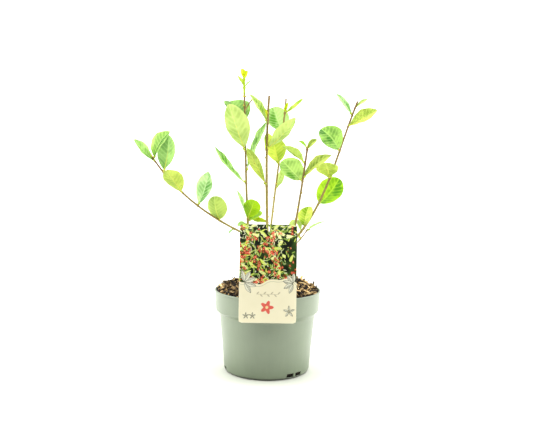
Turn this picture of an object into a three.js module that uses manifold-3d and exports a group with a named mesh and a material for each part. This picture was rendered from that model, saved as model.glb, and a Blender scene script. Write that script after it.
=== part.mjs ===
import * as THREE from "three";
import { mergeVertices } from "three/addons/utils/BufferGeometryUtils.js";
import Module from "manifold-3d";

// A young black chokeberry in a nursery pot. Lengths are millimetres and angles are degrees.
// The pot stands on z = 0 round the z axis, and -Y is the side that carries the plant label.

// Driving dimensions of the pot, its compost and its label
const gap = 0.3;
const pot = {
  height: 134, rim: 86.6, wall: 1.8, floor: 2.6, foot: 65.6, base: 69.8, corner: 5,
  shoulder: 78, shoulderHeight: 93, bandLow: 84.6, bandHeight: 100, lip: 3.4, lipOut: 1, edge: 0.9,
  segments: 40,
};
const slot = { count: 3, first: 39.5, wide: 13, rib: 3.6, deep: 16, low: 3, high: 9.4 };
const compost = { top: 131.7, seat: 31, slope: 0.04, heap: 7.5, bump: 1.6, clear: 0.6 };
const chips = { count: 38, inner: 44, outer: 70, long: [10, 19], wide: [5, 8], thick: [2.6, 4.4] };
const label = {
  wide: 88, tall: 151, thick: 0.9, corner: 3.5, low: 98.5, lean: 6.8, tongue: 26, tuck: 20,
  hole: { wide: 4.6, tall: 8.6, drop: 7 },
};

// Driving dimensions of the wood and its leaves. A stem has the foot, two handles and tip of its
// curve, its radius at foot and tip, the flare at its foot, the share of its length where its
// leafy part starts, and for a bough the stem that it grows from. Each row of leaves gives the
// place along the stem from 0 at its foot to 1 at its tip, the heading in plan from +X towards
// +Y, the rise above level, the whole length, the width and the roll about the length, then
// the bow and the fold of the midrib where they aren't the usual ones.
const leaf = {
  stalk: 0.08, stalkRadius: 0.8, tipRadius: 0.32, thickness: 0.014, thinnest: 0.6, rim: 0.8,
  bow: 0.06, fold: 18, crest: 1.12, stations: 6,
};
const flareLength = 7;
const stems = {
  main_stem: {
    curve: [[0, 0, 132], [0, 2, 234], [-9, 9, 341], [-2, 14, 447.5]],
    radius: [2.6, 1.8], flare: 2.6, leafy: 0.335,
    leaves: [
      [0.352, 170, 7, 24, 14, -27, 0.04, 14], [0.54, 219, 56, 74, 17, 57, 0.1, 14],
      [0.722, 82, 64, 30, 18, 36, 0.07, 22], [0.728, 338, 46, 70, 27, -34, -0.05],
      [0.862, 170, 56, 55, 21, -22, 0.02, 23], [0.875, 199, 73, 20, 7, -62],
    ],
  },
  left_stem: {
    curve: [[-24, -10, 132], [-37, 3, 242], [-39, 11, 358], [-43, 11, 477]],
    radius: [2.2, 1.3], flare: 1.4, leafy: 0.2,
    leaves: [
      [0.23, 104, 4, 36, 24, 0], [0.309, 197, -1, 18, 15, -28],
      [0.327, 34, 28, 31, 17, 30, 0.06, 19], [0.339, 299, 54, 40, 27, -34, -0.02, 22],
      [0.359, 177, 66, 43, 23, -5, -0.04], [0.506, 172, 48, 80, 22, -17, -0.07],
      [0.56, 0, 68, 88, 26, 26, 0.02, 14], [0.655, 208, 68, 81, 41, 42, -0.02, 20],
      [0.787, 122, 35, 62, 42, -8, 0.05, 26], [0.948, 333, 42, 18, 4, 57, 0.07],
      [0.951, 153, 55, 24, 7, -16], [0.987, 142, 74, 18, 11, -14], [0.986, 340, 68, 15, 11, -22],
    ],
  },
  back_stem: {
    curve: [[-2, 18, 132], [0, 27, 238], [19, 69, 339], [27, 95, 446.5]],
    radius: [1.9, 1.4], flare: 1.4, leafy: 0.2,
    leaves: [
      [0.219, 110, 20, 46, 29, 10], [0.279, 50, 5, 42, 27, -12], [0.259, 170, -5, 36, 23, 14],
      [0.512, 29, 68, 38, 20, 6, -0.13], [0.643, 241, 60, 51, 36, 18, 0.04, 16],
      [0.816, 133, 61, 49, 40, -30, -0.04, 11], [0.922, 9, 38, 40, 18, 14, -0.08, 21],
      [0.92, 330, 72, 19, 7, -25, 0.04, 16],
    ],
  },
  right_stem: {
    curve: [[24, -8, 132], [39, -2, 210], [50, -31, 287], [58, -50, 365]],
    radius: [2.1, 1.5], flare: 1.4, leafy: 0.25,
    leaves: [
      [0.28, 108, 50, 32, 23, 8], [0.505, 138, -52, 25, 18, -58, 0.04, 9],
      [0.774, 160, 43, 47, 37, -47, -0.01, 22], [0.794, 352, 40, 58, 27, 34, 0.08],
      [0.896, 190, 36, 45, 23, 24], [0.992, 198, 40, 20, 9, -38, 0.1, 24],
      [0.994, 338, 43, 22, 12, 56, 0.09, 21],
    ],
  },
  left_bough: {
    from: "main_stem",
    curve: [[0, 2, 209], [-74, -15, 236], [-141, -25, 281], [-183, -38, 347]],
    radius: [1.9, 1.3], flare: 0.5, leafy: 0.22,
    leaves: [
      [0.26, 215, -37, 13, 7, -1], [0.37, 216, 74, 42, 36, 26, -0.1],
      [0.556, 24, 72, 57, 28, 39, -0.08, 16], [0.692, 235, 44, 53, 30, 28, 0],
      [0.881, 334, 80, 59, 31, -29, -0.08], [0.966, 207, 44, 49, 25, -43, -0.04, 19],
      [0.99, 6, 59, 50, 31, 36, 0.11, 20],
    ],
  },
  right_bough: {
    from: "main_stem",
    curve: [[0, 1, 178], [89, 11, 234], [105, 23, 345], [143, 34, 441]],
    radius: [2.1, 1.5], flare: 0.5, leafy: 0.2,
    leaves: [
      [0.24, 138, 54, 22, 15, 64], [0.267, 62, 62, 38, 29, -13, 0.05, 16],
      [0.41, 27, 47, 58, 43, 38, -0.12, 16], [0.566, 257, 28, 57, 35, 8, 0.03, 0],
      [0.717, 171, 49, 48, 39, -61, 0.2], [0.858, 344, 30, 54, 27, -41, 0, 21],
      [0.921, 194, 50, 44, 15, -54, 0.04, 14], [0.961, 7, 36, 27, 8, 36],
    ],
  },
  low_twig: {
    from: "back_stem",
    curve: [[-1, 21, 172], [34, 27, 192], [55, 40, 208], [66, 52, 227]],
    radius: [1.4, 1], flare: 0.4, leafy: 0,
    leaves: [[0.76, 211, 47, 13, 8, -60], [0.96, 29, 22, 39, 13, -6, 0.04]],
  },
};

const colours = {
  plastic: { color: 0xa9bb9b, roughness: 0.5, metalness: 0 },
  compost: { color: 0x3a2a1f, roughness: 0.95, metalness: 0 },
  card: { color: 0xe9dfb8, roughness: 0.4, metalness: 0 },
  bark: { color: 0x806440, roughness: 0.8, metalness: 0 },
  foliage: { color: 0x86c83e, roughness: 0.45, metalness: 0 },
};
const { degToRad: radians, lerp } = THREE.MathUtils;
const wasm = await Module();
wasm.setup();
const group = new THREE.Group();
const standing = [];

function solidOf(geometry) {
  const bare = geometry.clone();
  bare.deleteAttribute("normal");
  bare.deleteAttribute("uv");
  const shared = mergeVertices(bare, 1e-4);
  return new wasm.Manifold(new wasm.Mesh({
    numProp: 3,
    vertProperties: new Float32Array(shared.attributes.position.array),
    triVerts: new Uint32Array(shared.index.array),
  }));
}

function add(name, solid, colour) {
  const mesh = solid.getMesh();
  const geometry = new THREE.BufferGeometry();
  geometry.setAttribute("position", new THREE.BufferAttribute(mesh.vertProperties, 3));
  geometry.setIndex(new THREE.BufferAttribute(mesh.triVerts, 1));
  geometry.computeVertexNormals();
  const node = new THREE.Mesh(geometry, new THREE.MeshStandardMaterial(colours[colour]));
  node.name = name;
  group.add(node);
  standing.push(solid);
}

// A cut can leave a scrap behind, and only the largest piece is kept
function largest(solid) {
  const pieces = solid.decompose();
  return pieces.reduce((best, piece) => (piece.volume() > best.volume() ? piece : best));
}

// Numbers from 0 to 1 that are the same in every run, by a multiplicative rule
function random(seed) {
  let state = seed;
  return () => (state = (state * 48271) % 2147483647) / 2147483647;
}

function turned(outline) {
  const profile = outline.map(([radius, height]) => new THREE.Vector2(radius, height));
  return new THREE.LatheGeometry(profile, pot.segments).rotateX(Math.PI / 2);
}

// A closed skin over rings of equal count, each anticlockwise as seen from the last one
function loft(rings) {
  const count = rings[0].length;
  const last = (rings.length - 1) * count;
  const faces = [];
  for (let first = 0; first < last; first += count) {
    for (let j = 0; j < count; j++) {
      const a = first + j;
      const b = first + (j + 1) % count;
      faces.push(a, b, b + count, a, b + count, a + count);
    }
  }
  for (let j = 1; j + 1 < count; j++) {
    faces.push(0, j + 1, j, last, last + j, last + j + 1);
  }
  const geometry = new THREE.BufferGeometry().setFromPoints(rings.flat());
  geometry.setIndex(faces);
  return solidOf(geometry);
}

function curveOf(stem) {
  return new THREE.CubicBezierCurve3(...stem.curve.map((point) => new THREE.Vector3(...point)));
}

// The pot's inner wall from its floor to its rim, which the compost follows
const bandTop = pot.rim - pot.lipOut;
const lipLow = pot.height - pot.lip;
const inside = [
  [pot.foot - 1, pot.floor], [pot.base - pot.wall, pot.corner + 1],
  [pot.shoulder - pot.wall, pot.shoulderHeight - 1],
  [pot.bandLow - pot.wall - 2, pot.bandHeight - 1.5],
  [pot.bandLow - pot.wall, pot.bandHeight + 2], [bandTop - pot.wall, lipLow],
];

// Thin wall, a round corner at the foot, a step out to the band under a small lip, and drain
// slots in pairs cut through the corner
function potSolid() {
  const corner = (out, up) => [lerp(pot.foot, pot.base, out), lerp(0, pot.corner, up)];
  const step = (out, up) => [lerp(pot.shoulder, pot.bandLow, out),
    lerp(pot.shoulderHeight, pot.bandHeight, up)];
  const outside = [
    [0, 0], corner(0, 0), corner(0.65, 0.24), corner(1, 1),
    step(0, 0), step(0.2, 0.43), step(0.63, 0.83), step(1, 1.14),
    [bandTop, lipLow], [pot.rim, lipLow + pot.edge], [pot.rim, pot.height - pot.edge],
    [pot.rim - pot.edge, pot.height], [bandTop - pot.wall, pot.height - pot.edge / 2],
  ];
  let body = solidOf(turned([...outside, ...inside.toReversed(), [0, pot.floor]]));
  for (let i = 0; i < slot.count; i++) {
    for (const side of [-1, 1]) {
      const hole = new THREE.BoxGeometry(slot.wide, slot.deep, slot.high - slot.low);
      hole.translate(side * (slot.wide + slot.rib) / 2, -pot.base, (slot.low + slot.high) / 2);
      hole.rotateZ(radians(slot.first + i * 360 / slot.count));
      body = body.subtract(solidOf(hole));
    }
  }
  return body;
}

// The compost's surface is level round the stems, then rolls, and heaps up before it falls to
// the rim
function ground(x, y) {
  const out = Math.max(0, Math.hypot(x, y) - compost.seat);
  const roll = Math.sin(x / 7 + 1) + Math.sin(y / 6 - x / 19);
  const heap = compost.heap * Math.sin(Math.PI * (out / (pot.rim - compost.seat)) ** 1.5);
  return compost.top - compost.slope * out + heap + compost.bump * roll * Math.min(1, out / 20);
}

// The compost fills the pot, and scraps of bark lie and stand in it round the stems
function compostSolid(pocket) {
  const rings = inside.slice(0, -1).map(([radius, height]) => [radius - 1.5 * gap, height + gap]);
  const edge = bandTop - pot.wall - compost.clear;
  const surface = [0, 0.2, 0.4, 0.6, 0.8, 1].map((share) => [lerp(edge, compost.seat, share), 0]);
  const body = turned([[0, pot.floor + gap], ...rings, ...surface, [0, 0]]);
  const points = body.attributes.position;
  for (let i = 0; i < points.count; i++) {
    if (points.getZ(i) < pot.floor) points.setZ(i, ground(points.getX(i), points.getY(i)));
  }
  let whole = solidOf(body);
  const next = random(7);
  for (let i = 0; i < chips.count; i++) {
    const angle = 2 * Math.PI * (i + next()) / chips.count;
    const reach = lerp(chips.inner, chips.outer, next());
    const [long, wide, thick] = [chips.long, chips.wide, chips.thick].map((size) => lerp(...size, next()));
    const tilt = i % 3 === 0 ? 63 : 70 * next() - 35;
    const chip = new THREE.BoxGeometry(long, wide, thick);
    chip.rotateY(radians(tilt)).rotateZ(radians(180 * next()));
    const [x, y] = [reach * Math.cos(angle), reach * Math.sin(angle)];
    whole = whole.add(solidOf(chip.translate(x, y, ground(x, y) + 1.2 * next())));
  }
  return largest(whole.subtract(pocket));
}

// The label is a card with round corners and a hanging hole. It leans back over the front of
// the lip, and a tongue behind it goes over the lip and down inside the pot.
function labelSolid() {
  const { wide, tall, thick, corner, hole } = label;
  const [x, high] = [wide / 2 - corner, tall - corner];
  const card = new THREE.Shape();
  card.absarc(x, corner, corner, -Math.PI / 2, 0);
  card.absarc(x, high, corner, 0, Math.PI / 2);
  card.absarc(-x, high, corner, Math.PI / 2, Math.PI);
  card.absarc(-x, corner, corner, Math.PI, 1.5 * Math.PI);
  const eye = new THREE.Path();
  eye.absellipse(0, tall - hole.drop, hole.wide / 2, hole.tall / 2, 0, 2 * Math.PI);
  card.holes.push(eye);
  const sheet = { depth: thick, bevelEnabled: false, curveSegments: 6 };
  const plate = new THREE.ExtrudeGeometry(card, sheet);
  const lean = radians(label.lean);
  const touch = pot.height - pot.edge;
  const foot = -(pot.rim + gap) - (touch - label.low) * Math.tan(lean);
  plate.rotateX(Math.PI / 2 - lean).translate(0, foot, label.low);
  return solidOf(plate).add(tongueSolid(0));
}

// The tongue's front end runs into the card, and margin widens it to a pocket for the compost
function tongueSolid(margin) {
  const over = pot.height + gap;
  const front = -(pot.rim + 0.5);
  const back = -(Math.sqrt((pot.bandLow - pot.wall) ** 2 - (label.tongue / 2) ** 2) - gap);
  const low = over - label.tuck;
  const strip = new THREE.Shape([
    [front, over], [back - margin, over], [back - margin, low - margin],
    [back + label.thick + margin, low - margin], [back + label.thick + margin, over + label.thick],
    [front, over + label.thick],
  ].map(([y, z]) => new THREE.Vector2(y, z)));
  const width = label.tongue + 2 * margin;
  const bar = new THREE.ExtrudeGeometry(strip, { depth: width, bevelEnabled: false });
  bar.rotateX(Math.PI / 2).rotateZ(Math.PI / 2).translate(-width / 2, 0, 0);
  return solidOf(bar);
}

// The stretch of a stem between two shares of its length, round and tapering, wider by margin.
// A stem from the compost starts with a level cut, and any foot flares.
function limb(stem, start, end, margin = 0) {
  const sides = 8;
  const curve = curveOf(stem);
  const length = curve.getLength();
  const steps = Math.max(3, Math.round((end - start) * length / 15));
  const shares = Array.from({ length: steps + 1 }, (_, i) => start + (end - start) * i / steps);
  if (start === 0) shares.splice(1, 0, 0.4 * flareLength / length);
  return loft(shares.map((share) => {
    const centre = curve.getPointAt(share);
    const level = share === 0 && !stem.from;
    const along = level ? new THREE.Vector3(0, 0, 1) : curve.getTangentAt(share);
    const side = new THREE.Vector3(0, 1, 0).cross(along).normalize();
    const other = along.clone().cross(side);
    const radius = lerp(...stem.radius, share) + margin
      + stem.flare * Math.exp(-share * length / flareLength);
    return Array.from({ length: sides }, (_, j) => {
      const angle = 2 * Math.PI * j / sides;
      return centre.clone().addScaledVector(side, radius * Math.cos(angle))
        .addScaledVector(other, radius * Math.sin(angle));
    });
  }));
}

// One leaf with its stalk, rooted at the middle of its stem: a thin blade that is folded along
// its midrib, bowed over its length, and swells and narrows like half a wave with its crest just
// past the middle. A wide one is rounder at its ends.
function leafSolid(stem, row, margin = 0) {
  const [at, heading, rise, length, width, roll, bow = leaf.bow, fold = leaf.fold] = row;
  const level = Math.cos(radians(rise));
  const along = new THREE.Vector3(level * Math.cos(radians(heading)),
    level * Math.sin(radians(heading)), Math.sin(radians(rise)));
  const up = new THREE.Vector3(0, 0, 1).addScaledVector(along, -along.z).normalize()
    .applyAxisAngle(along, radians(roll));
  const across = up.clone().cross(along);
  const root = curveOf(stem).getPointAt(at);
  const half = Math.max(leaf.thinnest, leaf.thickness * length) / 2 + margin;
  const round = THREE.MathUtils.clamp(1.05 - 0.75 * width / length, 0.5, 0.85);
  const rings = [];
  for (let i = -1; i <= leaf.stations; i++) {
    const blade = Math.max(0, i / leaf.stations);
    const share = i < 0 ? 0 : leaf.stalk + (1 - leaf.stalk) * blade;
    const bulge = (width / 2) * Math.sin(Math.PI * blade ** leaf.crest) ** round;
    const wide = lerp(leaf.stalkRadius, leaf.tipRadius, blade) + bulge + margin;
    const rim = bulge * Math.tan(radians(fold));
    const deep = i < 1 ? leaf.stalkRadius + margin : half;
    const spine = root.clone().addScaledVector(along, length * share)
      .addScaledVector(up, bow * length * 4 * share * (1 - share));
    const place = (x, z) => spine.clone().addScaledVector(across, x).addScaledVector(up, z);
    const thin = leaf.rim * deep;
    rings.push([place(-wide, rim - thin), place(0, -deep), place(wide, rim - thin),
      place(wide, rim + thin), place(0, deep), place(-wide, rim + thin)]);
  }
  return loft(rings);
}

// A leafy part is the rest of its stem with its leaves fused on. A leaf that would come within
// 0.3 mm of what already stands is left out.
function leafyPart(stem) {
  const start = stem.leafy + (stem.leafy > 0 ? gap / curveOf(stem).getLength() : 0);
  let whole = limb(stem, start, 1);
  if (stem.leafy === 0) whole = whole.subtract(limb(stems[stem.from], 0, stems[stem.from].leafy, gap));
  for (const row of stem.leaves) {
    const room = leafSolid(stem, row, gap);
    if (standing.every((other) => other.intersect(room).volume() === 0)) {
      whole = whole.add(leafSolid(stem, row));
    }
  }
  return largest(whole);
}

add("pot", potSolid(), "plastic");
add("compost", compostSolid(tongueSolid(gap)), "compost");
add("plant_label", labelSolid(), "card");
for (const [name, stem] of Object.entries(stems)) {
  if (stem.leafy === 0) continue;
  let wood = limb(stem, 0, stem.leafy);
  if (stem.from) wood = largest(wood.subtract(limb(stems[stem.from], 0, stems[stem.from].leafy, gap)));
  add(name, wood, "bark");
}
for (const [name, stem] of Object.entries(stems)) {
  add(`${name}_leaves`, leafyPart(stem), "foliage");
}

export default group;
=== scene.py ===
import bmesh
import bpy
import numpy as np
from mathutils import Matrix


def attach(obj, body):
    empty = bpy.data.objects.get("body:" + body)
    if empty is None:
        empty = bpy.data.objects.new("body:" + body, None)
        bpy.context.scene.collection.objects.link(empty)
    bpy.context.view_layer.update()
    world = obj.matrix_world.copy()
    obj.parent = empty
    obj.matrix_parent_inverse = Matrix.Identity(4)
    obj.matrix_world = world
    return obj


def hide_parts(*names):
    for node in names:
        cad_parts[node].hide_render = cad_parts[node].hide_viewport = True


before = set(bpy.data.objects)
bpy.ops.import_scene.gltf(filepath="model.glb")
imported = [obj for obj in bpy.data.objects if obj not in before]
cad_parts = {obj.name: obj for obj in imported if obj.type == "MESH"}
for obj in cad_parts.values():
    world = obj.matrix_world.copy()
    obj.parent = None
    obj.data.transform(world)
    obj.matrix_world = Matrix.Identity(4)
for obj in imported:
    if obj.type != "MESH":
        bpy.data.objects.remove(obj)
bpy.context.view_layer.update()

# The pot is one shot of polypropylene in a dull sage green, about two litres. Its thin wall steps
# out to a deep band under a small rolled lip, and pairs of drain slots are moulded through the
# corner at its foot.

mm = 0.001
# From the middle of the underside, up the outside, and down inside: radius, height, corner's cut
pot_outline = [
    (0, 0, 0), (61.6, 0, 1), (62.2, 0.5, 0.4), (65.2, 0.5, 0.4), (65.8, 0, 0.8), (68.3, 1.2, 2), (69.8, 5, 2),
    (78, 93, 3), (79.3, 96, 2), (82.1, 98.8, 2), (84.6, 101, 1.5), (85.6, 130.4, 0.5), (86.6, 131.2, 0.4),
    (86.6, 133.2, 0.7), (85.7, 134, 0.7), (84, 133.7, 0.6), (83.7, 130, 1), (82.8, 102, 1.5),
    (81, 98.5, 2), (76.2, 92, 3), (68, 6, 2), (64.8, 2.6, 2), (0, 2.6, 0),
]
slot_middles = np.radians([39.5, 159.5, 279.5])
slot_width, slot_rib, slot_low, slot_high = 13, 3.6, 3, 9.4
slot_inner, slot_outer = 60, 76


def faces_of(rows, columns, around=True):
    """Corner numbers of the four-sided faces between the rows and columns of a grid of points.
    With around, the last column is joined to the first."""
    row, column = np.meshgrid(np.arange(rows - 1), np.arange(columns - (not around)), indexing="ij")
    beside = (column + 1) % columns
    corners = [row * columns + column, row * columns + beside,
               (row + 1) * columns + beside, (row + 1) * columns + column]
    return np.stack(corners, axis=-1).reshape(-1, 4)


def shell(points, around=True, material=0, **marks):
    """A grid of points in millimetres as one skin: its points, faces, material number and marks,
    which are a number or an array of numbers for the points."""
    rows, columns = points.shape[:2]
    spread = {name: np.broadcast_to(mark, (rows, columns)).ravel() for name, mark in marks.items()}
    return {"points": points.reshape(-1, 3), "faces": faces_of(rows, columns, around),
            "material": material, "marks": spread}


def build_piece(name, shells, materials, node, sharp):
    """One mesh object from skins, in place of a CAD node. Points that fall together become one, so
    that seams and poles close, and faces are turned outwards. The marks become attributes of the
    points, and edges that bend by more than sharp degrees stay crisp."""
    counts = np.cumsum([0] + [len(s["points"]) for s in shells])
    points = np.concatenate([s["points"] for s in shells]) * mm
    faces = np.concatenate([s["faces"] + count for s, count in zip(shells, counts)])
    mesh = bpy.data.meshes.new(name)
    mesh.from_pydata(points, [], faces.tolist())
    numbers = np.concatenate([np.full(len(s["faces"]), s["material"]) for s in shells])
    mesh.polygons.foreach_set("material_index", numbers.astype(np.int32))
    for mark in sorted({mark for s in shells for mark in s["marks"]}):
        values = np.concatenate([s["marks"].get(mark, np.zeros(len(s["points"]))) for s in shells])
        attribute = mesh.attributes.new(mark, "FLOAT", "POINT")
        attribute.data.foreach_set("value", values.astype(np.float32))
    work = bmesh.new()
    work.from_mesh(mesh)
    bmesh.ops.remove_doubles(work, verts=work.verts, dist=1e-6)
    bmesh.ops.recalc_face_normals(work, faces=work.faces)
    work.to_mesh(mesh)
    work.free()
    mesh.shade_smooth()
    mesh.set_sharp_from_angle(angle=np.radians(sharp))
    for material in materials:
        mesh.materials.append(material)
    piece = bpy.data.objects.new(name, mesh)
    bpy.context.scene.collection.objects.link(piece)
    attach(piece, "root")
    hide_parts(node)
    return piece


def distances(line):
    """How far along a line each of its points lies."""
    return np.concatenate([[0], np.cumsum(np.linalg.norm(np.diff(line, axis=0), axis=1))])


def read_off(places, reached, values):
    """Values read off evenly between the points that lie at the reached distances."""
    return np.stack([np.interp(places, reached, column) for column in values.T], -1)


def full_turn(count):
    """That many even angles round a circle."""
    return np.linspace(0, 2 * np.pi, count, endpoint=False)


def points_of(x, y, z):
    """Points from arrays of x, y and z that fit together."""
    return np.stack(np.broadcast_arrays(x, y, z), -1)


def rounded(outline, steps=5):
    """The outline with each corner cut off at its own distance and replaced by the parabola that
    the corner draws between the two cuts. Straights get a point every 6 mm too."""
    corners = np.array(outline, float)
    points = []
    for before, here, after in zip(corners[:-2], corners[1:-1], corners[2:]):
        to_before, to_after = before[:2] - here[:2], after[:2] - here[:2]
        cut_before = here[:2] + to_before * min(0.45, here[2] / np.linalg.norm(to_before))
        cut_after = here[:2] + to_after * min(0.45, here[2] / np.linalg.norm(to_after))
        share = np.linspace(0, 1, steps)[:, None]
        points.append((1 - share) ** 2 * cut_before + 2 * share * (1 - share) * here[:2]
                      + share ** 2 * cut_after)
    bent = np.concatenate([corners[:1, :2], *points, corners[-1:, :2]])
    reached = distances(bent)
    places = np.unique(np.round(np.concatenate([reached, np.arange(0, reached[-1], 6.0)]), 3))
    return read_off(places, reached, bent)


def turned(outline, columns=192):
    """The outline's radius and height carried round the z axis."""
    angle = full_turn(columns)
    radius, height = outline[:, :1], outline[:, 1:]
    return points_of(radius * np.cos(angle), radius * np.sin(angle), height)


def paint(red, green, blue):
    """A colour as it is seen, in 0 to 255, as Blender's linear colour."""
    seen = np.array([red, green, blue]) / 255
    linear = np.where(seen < 0.04045, seen / 12.92, ((seen + 0.055) / 1.055) ** 2.4)
    return (*linear.tolist(), 1)


class Wire:
    """One value on its way through a material. Arithmetic on it adds Math nodes."""

    def __init__(self, tree, socket):
        self.tree = tree
        self.socket = socket

    def add(self, kind, settings, values, output=0):
        """A node of that kind with its settings made first, then the values or wires of its
        sockets. A setting named stops fills a colour ramp."""
        node = self.tree.nodes.new("ShaderNode" + kind)
        for name, setting in settings.items():
            if name == "stops":
                for i, (place, colour) in enumerate(setting):
                    stop = node.color_ramp.elements[i] if i < 2 else node.color_ramp.elements.new(place)
                    stop.position = place
                    stop.color = colour
            else:
                setattr(node, name, setting)
        for name, value in values.items():
            if isinstance(value, Wire):
                self.tree.links.new(value.socket, node.inputs[name])
            else:
                node.inputs[name].default_value = value
        return Wire(self.tree, node.outputs[output])

    def math(self, operation, first, second=0.0):
        return self.add("Math", {"operation": operation}, {0: first, 1: second})

    def vector(self, operation, other=(0, 0, 0), output=0):
        return self.add("VectorMath", {"operation": operation}, {0: self, 1: other}, output)

    def mark(self, name):
        """The value of one of the mesh's attributes."""
        return self.add("Attribute", {"attribute_name": name}, {}, "Fac")

    def __add__(self, other):
        return self.math("ADD", self, other)

    def __sub__(self, other):
        return self.math("SUBTRACT", self, other)

    def __mul__(self, other):
        return self.math("MULTIPLY", self, other)

    def __truediv__(self, other):
        return self.math("DIVIDE", self, other)

    def __pow__(self, other):
        return self.math("POWER", self, other)

    def __lt__(self, other):
        return self.math("LESS_THAN", self, other)

    def __gt__(self, other):
        return self.math("GREATER_THAN", self, other)

    def __abs__(self):
        return self.math("ABSOLUTE", self)

    def __radd__(self, other):
        return self.math("ADD", other, self)

    def __rsub__(self, other):
        return self.math("SUBTRACT", other, self)

    def __rmul__(self, other):
        return self.math("MULTIPLY", other, self)

    def blend(self, low, high):
        """From 0 at low to 1 at high, with soft ends."""
        settings = {"interpolation_type": "SMOOTHSTEP"}
        return self.add("MapRange", settings, {"Value": self, "From Min": low, "From Max": high})

    def mix(self, first, second):
        """The first colour where this wire is 0 and the second where it is 1."""
        return self.add("Mix", {"data_type": "RGBA"}, {0: self, 6: first, 7: second}, 2)

    def noise(self, scale, detail=2.0, rough=0.5):
        """Cloudy noise from 0 to 1 at this wire's places, with that many waves to the metre."""
        values = {"Vector": self, "Scale": scale, "Detail": detail, "Roughness": rough}
        return self.add("TexNoise", {}, values)

    def beside(self, output):
        """Another output of the node that this wire comes from."""
        return Wire(self.tree, self.socket.node.outputs[output])

    def bump(self, depth, strength):
        """A normal that makes this wire's 0 to 1 stand out by depth in metres."""
        return self.add("Bump", {}, {"Height": self, "Distance": depth, "Strength": strength})


def finish(name, settings):
    """A new material with its shader's plain values set. Returns it, its object coordinates and a
    function that joins wires to the shader's sockets."""
    material = bpy.data.materials.new(name)
    material.use_nodes = True
    tree = material.node_tree
    shader = tree.nodes["Principled BSDF"]
    for socket, value in settings.items():
        shader.inputs[socket].default_value = value
    place = Wire(tree, tree.nodes.new("ShaderNodeTexCoord").outputs["Object"])

    def join(**wires):
        for socket, wire in wires.items():
            tree.links.new(wire.socket, shader.inputs[socket.replace("_", " ")])

    return material, place, join


sage_dark, sage_light, sage_foot_shade = paint(98, 109, 88), paint(114, 126, 102), paint(58, 66, 50)
dry_soil, foot_shadow_and_soil, pale_dust = paint(52, 44, 32), paint(34, 32, 24), paint(196, 200, 176)

sage_plastic, place, join = finish("sage_plastic", {"Specular IOR Level": 0.7})
cloud = place.noise(28, 3)
streak = place.vector("MULTIPLY", (260, 260, 14)).noise(1)
dust = place.noise(700, 4, 0.75).blend(0.66, 0.78) * place.noise(16).blend(0.42, 0.7)
tone = (cloud * 0.7 + streak * 0.3).mix(sage_dark, sage_light)
grain = place.noise(2600) * 0.6 + place.noise(600) * 0.4
height = place.add("SeparateXYZ", {}, {0: place}, 2)
soil = (1 - height.blend(0.0, 0.005)) * place.noise(240, 3).blend(0.42, 0.6)
# Painted shade: the sage gets a little darker towards the foot, where less light comes up from the sheet
tone = (height.blend(-0.02, 0.06) * 0.2 + 0.8).mix(sage_foot_shade, tone)
tone = (soil * 0.7).mix(tone, dry_soil)
# Painted contact shadow with a little soil: the last few millimetres at the foot go nearly black
tone = ((1 - height.blend(0.001, 0.0044)) * 0.85).mix(tone, foot_shadow_and_soil)
join(Base_Color=(dust * 0.35).mix(tone, pale_dust),
     Roughness=cloud * 0.16 + dust * 0.2 + 0.3,
     Normal=grain.bump(0.00009, 0.5))

pot_shape = rounded(pot_outline)
pot = build_piece("nursery_pot", [shell(turned(pot_shape))], [sage_plastic], "pot", 32)


def slot_bar(middle, side):
    """A bar that cuts one slot: an oblong drawn by a cosine and a sine to the power 0.2, which
    keeps the corners a little round. It is closed at both ends and turned to the slot's place."""
    angle = full_turn(24)
    wide, high = [np.sign(wave) * np.abs(wave) ** 0.2 for wave in (np.cos(angle), np.sin(angle))]
    x = side * (slot_width + slot_rib) / 2 + wide * slot_width / 2
    z = (slot_low + slot_high) / 2 + high * (slot_high - slot_low) / 2
    y = -np.array([[slot_inner], [slot_inner], [slot_outer], [slot_outer]])
    full = np.array([[0], [1], [1], [0]])
    x, z = [wave * full + (1 - full) * wave.mean() for wave in (x, z)]
    out = x * np.sin(middle) + y * np.cos(middle)
    return shell(points_of(x * np.cos(middle) - y * np.sin(middle), out, z))


cutters = [slot_bar(middle, side) for middle in slot_middles for side in (-1, 1)]
cutter = build_piece("slot_cutter", cutters, [], "pot", 40)
cut = pot.modifiers.new("drain_slots", "BOOLEAN")
cut.object = cutter
cut.solver = "EXACT"
cut_mesh = bpy.data.meshes.new_from_object(pot.evaluated_get(bpy.context.evaluated_depsgraph_get()))
pot.modifiers.clear()
pot.data = cut_mesh
bpy.data.objects.remove(cutter)

# The compost is coarse bark with fibre and fines. It fills the pot, rolls a little below the rim,
# and its top layer is scraps of bark that lie at all angles, a few of them fresh and tan.

compost_top, compost_seat, compost_slope, compost_heap, compost_bump = 131.7, 31, 0.04, 7.5, 1.6
compost_edge, rim_radius, compost_columns = 83.2, 86.6, 240
inner_wall = [(68, 6), (76.2, 92), (81, 98.5), (82.8, 102)]
scrap_count, crumb_count = 1500, 2600
# The ring where the compost heaps up and large scraps lie steeply
heap_inner, heap_outer, large_share = 54, 78, 0.28
# Scraps that stand up from the rest: place across and back, length, width, tilt, heading, finish
tall_scraps = [
    (56, 50, 17, 6.5, 66, 20, 3), (62, 46, 13, 4, 48, 150, 2), (79, 16, 14, 6, 46, 200, 1),
    (76, 26, 12, 4, 58, 30, 2), (-71, 34, 12, 7, 34, 160, 0), (-57, 54, 13, 2.4, 74, 40, 2),
    (-64, 40, 11, 4, 30, 10, 3),
]
tall_thick = 2.4


def ground(x, y):
    """The height of the compost: level round the stems, then rolling in two sine waves over a slow
    fall, with a heap near the rim that is half a sine of the way out to the power 1.5."""
    out = np.maximum(0, np.hypot(x, y) - compost_seat)
    roll = np.sin(x / 7 + 1) + np.sin(y / 6 - x / 19)
    heap = compost_heap * np.sin(np.pi * (out / (rim_radius - compost_seat)) ** 1.5)
    return compost_top - compost_slope * out + heap + compost_bump * roll * np.minimum(1, out / 20)


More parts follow.
